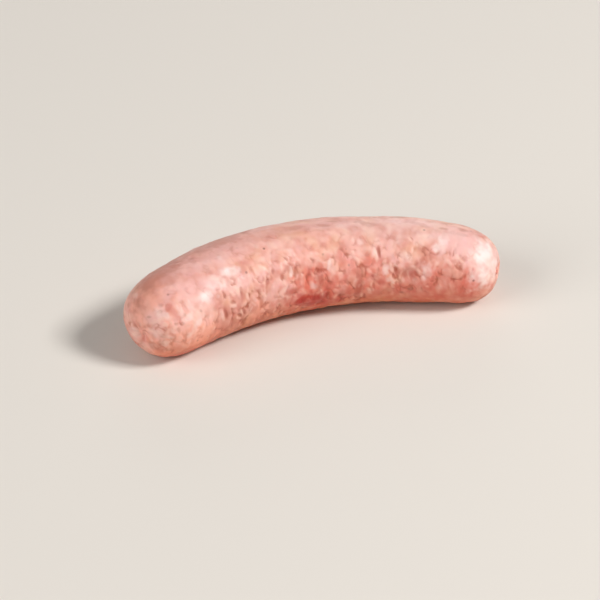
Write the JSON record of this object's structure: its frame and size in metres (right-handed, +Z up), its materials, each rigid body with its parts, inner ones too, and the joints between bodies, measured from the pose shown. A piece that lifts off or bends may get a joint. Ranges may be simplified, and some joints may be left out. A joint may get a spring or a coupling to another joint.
{
  "type": "sausage link",
  "caption": "Plump raw pork sausage in a natural casing, bowed along its length, domed at both ends, lying on its side.",
  "frame": {"origin": "middle of the footprint's bounding rectangle, on the surface that the link rests on", "axes": "+X along the link from its fuller end to its slimmer one, +Y to the outside of the bow, +Z up"},
  "size_m": [0.1476, 0.049, 0.0331],
  "materials": {
    "raw_sausage": "satin"
  },
  "bodies": {
    "root": {"sausage_link": "raw_sausage"}
  },
  "joints": []
}
